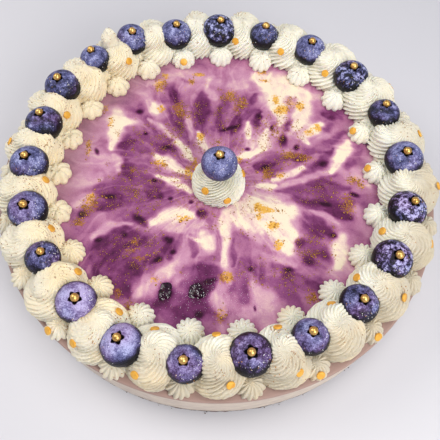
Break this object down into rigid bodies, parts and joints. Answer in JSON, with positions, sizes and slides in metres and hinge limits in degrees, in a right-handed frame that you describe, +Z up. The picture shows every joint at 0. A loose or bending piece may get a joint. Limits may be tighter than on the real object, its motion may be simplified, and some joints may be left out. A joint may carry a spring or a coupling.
{
  "type": "cheesecake",
  "caption": "Round uncut cheesecake on a biscuit crust: marbled berry top, a border of piped cream rosettes and stars, blueberries holding sugar pearls, and flat sugar sequins.",
  "frame": {"origin": "middle of the crust's underside, on the surface that the cake stands on", "axes": "+Z up, -Y towards the side that faces the viewer in the picture, +X to the viewer's right"},
  "size_m": [0.229, 0.229, 0.065],
  "materials": {
    "crust": "dry pressed biscuit crumb",
    "filling": "set cream cheese marbled with blueberry, soft gloss on top",
    "cream": "piped whipped cream, satin",
    "berry": "blueberry skin with a waxy bloom",
    "gold_sugar": "gold lustre on sugar pearls and sequins"
  },
  "bodies": {
    "root": {"crust_base": "crust", "filling": "filling", "rosette_01": "cream", "rosette_02": "cream", "rosette_03": "cream", "rosette_04": "cream", "rosette_05": "cream", "rosette_06": "cream", "rosette_07": "cream", "rosette_08": "cream", "rosette_09": "cream", "rosette_10": "cream", "rosette_11": "cream", "rosette_12": "cream", "rosette_13": "cream", "rosette_14": "cream", "rosette_15": "cream", "rosette_16": "cream", "rosette_17": "cream", "rosette_18": "cream", "rosette_19": "cream", "rosette_20": "cream", "rosette_21": "cream", "rosette_22": "cream", "rosette_centre": "cream", "berry_01": "berry", "berry_02": "berry", "berry_03": "berry", "berry_04": "berry", "berry_05": "berry", "berry_06": "berry", "berry_07": "berry", "berry_08": "berry", "berry_09": "berry", "berry_10": "berry", "berry_11": "berry", "berry_12": "berry", "berry_13": "berry", "berry_14": "berry", "berry_15": "berry", "berry_16": "berry", "berry_17": "berry", "berry_18": "berry", "berry_19": "berry", "berry_20": "berry", "berry_21": "berry", "berry_22": "berry", "berry_centre": "berry"}
  },
  "joints": []
}
